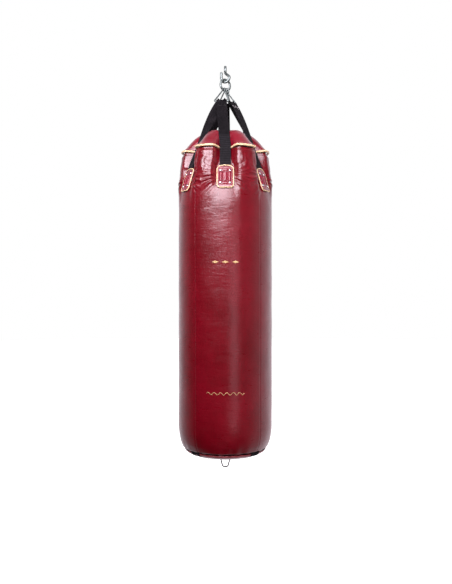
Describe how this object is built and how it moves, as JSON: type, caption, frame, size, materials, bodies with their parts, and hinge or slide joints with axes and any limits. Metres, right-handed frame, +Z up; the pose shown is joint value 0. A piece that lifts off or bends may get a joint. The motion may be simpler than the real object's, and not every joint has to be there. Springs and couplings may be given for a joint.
{
  "type": "heavy punching bag",
  "caption": "Tall leather heavy bag, domed top and rounded base, hung by riveted webbing legs on wire links, a ring and an S-hook, with a tether ring below.",
  "frame": {"origin": "the point inside the S-hook's upper arch where it bears on what it hangs from", "axes": "+Z up along the hanging bag's axis, -Y towards the bag's front, +X to the right seen from the front"},
  "size_m": [0.35, 0.3542, 1.5127],
  "materials": {
    "burgundy_leather": "glossy",
    "patch_leather": "glossy",
    "cream_piping": "satin",
    "black_webbing": "matte",
    "lining_foam": "matte",
    "textile_filling": "matte",
    "zinc_steel": "bright",
    "rivet_steel": "polished",
    "tether_steel": "satin"
  },
  "bodies": {
    "hook": {"s_hook": "zinc_steel"},
    "ring": {"hanging_ring": "zinc_steel"},
    "bag": {"front_link": "zinc_steel", "right_link": "zinc_steel", "back_link": "zinc_steel", "front_webbing": "black_webbing", "right_webbing": "black_webbing", "back_webbing": "black_webbing", "strap_patch_000": "patch_leather", "patch_piping_000": "cream_piping", "rivet_000_1": "rivet_steel", "rivet_000_2": "rivet_steel", "rivet_000_3": "rivet_steel", "rivet_000_4": "rivet_steel", "strap_patch_060": "patch_leather", "patch_piping_060": "cream_piping", "rivet_060_1": "rivet_steel", "rivet_060_2": "rivet_steel", "rivet_060_3": "rivet_steel", "rivet_060_4": "rivet_steel", "strap_patch_120": "patch_leather", "patch_piping_120": "cream_piping", "rivet_120_1": "rivet_steel", "rivet_120_2": "rivet_steel", "rivet_120_3": "rivet_steel", "rivet_120_4": "rivet_steel", "strap_patch_180": "patch_leather", "patch_piping_180": "cream_piping", "rivet_180_1": "rivet_steel", "rivet_180_2": "rivet_steel", "rivet_180_3": "rivet_steel", "rivet_180_4": "rivet_steel", "strap_patch_240": "patch_leather", "patch_piping_240": "cream_piping", "rivet_240_1": "rivet_steel", "rivet_240_2": "rivet_steel", "rivet_240_3": "rivet_steel", "rivet_240_4": "rivet_steel", "strap_patch_300": "patch_leather", "patch_piping_300": "cream_piping", "rivet_300_1": "rivet_steel", "rivet_300_2": "rivet_steel", "rivet_300_3": "rivet_steel", "rivet_300_4": "rivet_steel", "front_panel": "burgundy_leather", "right_panel": "burgundy_leather", "back_panel": "burgundy_leather", "left_panel": "burgundy_leather", "top_cap": "burgundy_leather", "bottom_cap": "burgundy_leather", "bottom_welt": "burgundy_leather", "rim_piping": "cream_piping", "foam_sleeve": "lining_foam", "packed_filling": "textile_filling", "under_band": "black_webbing", "over_band": "black_webbing", "ring_tab": "black_webbing"},
    "tether": {"tether_ring": "tether_steel"}
  },
  "joints": [
    {"name": "ring_on_hook", "type": "hinge", "parent": "hook", "child": "ring", "pos_m": [0, 0, -0.051], "axis": [0.9063, -0.4226, 0], "range_deg": [-30, 30]},
    {"name": "bag_on_ring", "type": "hinge", "parent": "ring", "child": "bag", "pos_m": [0, 0, -0.0837], "axis": [0.8387, 0.5446, 0], "range_deg": [-20, 20]},
    {"name": "tether_ring_swing", "type": "hinge", "parent": "bag", "child": "tether", "pos_m": [0, 0, -1.4685], "axis": [1, 0, 0], "range_deg": [-70, 70]}
  ]
}
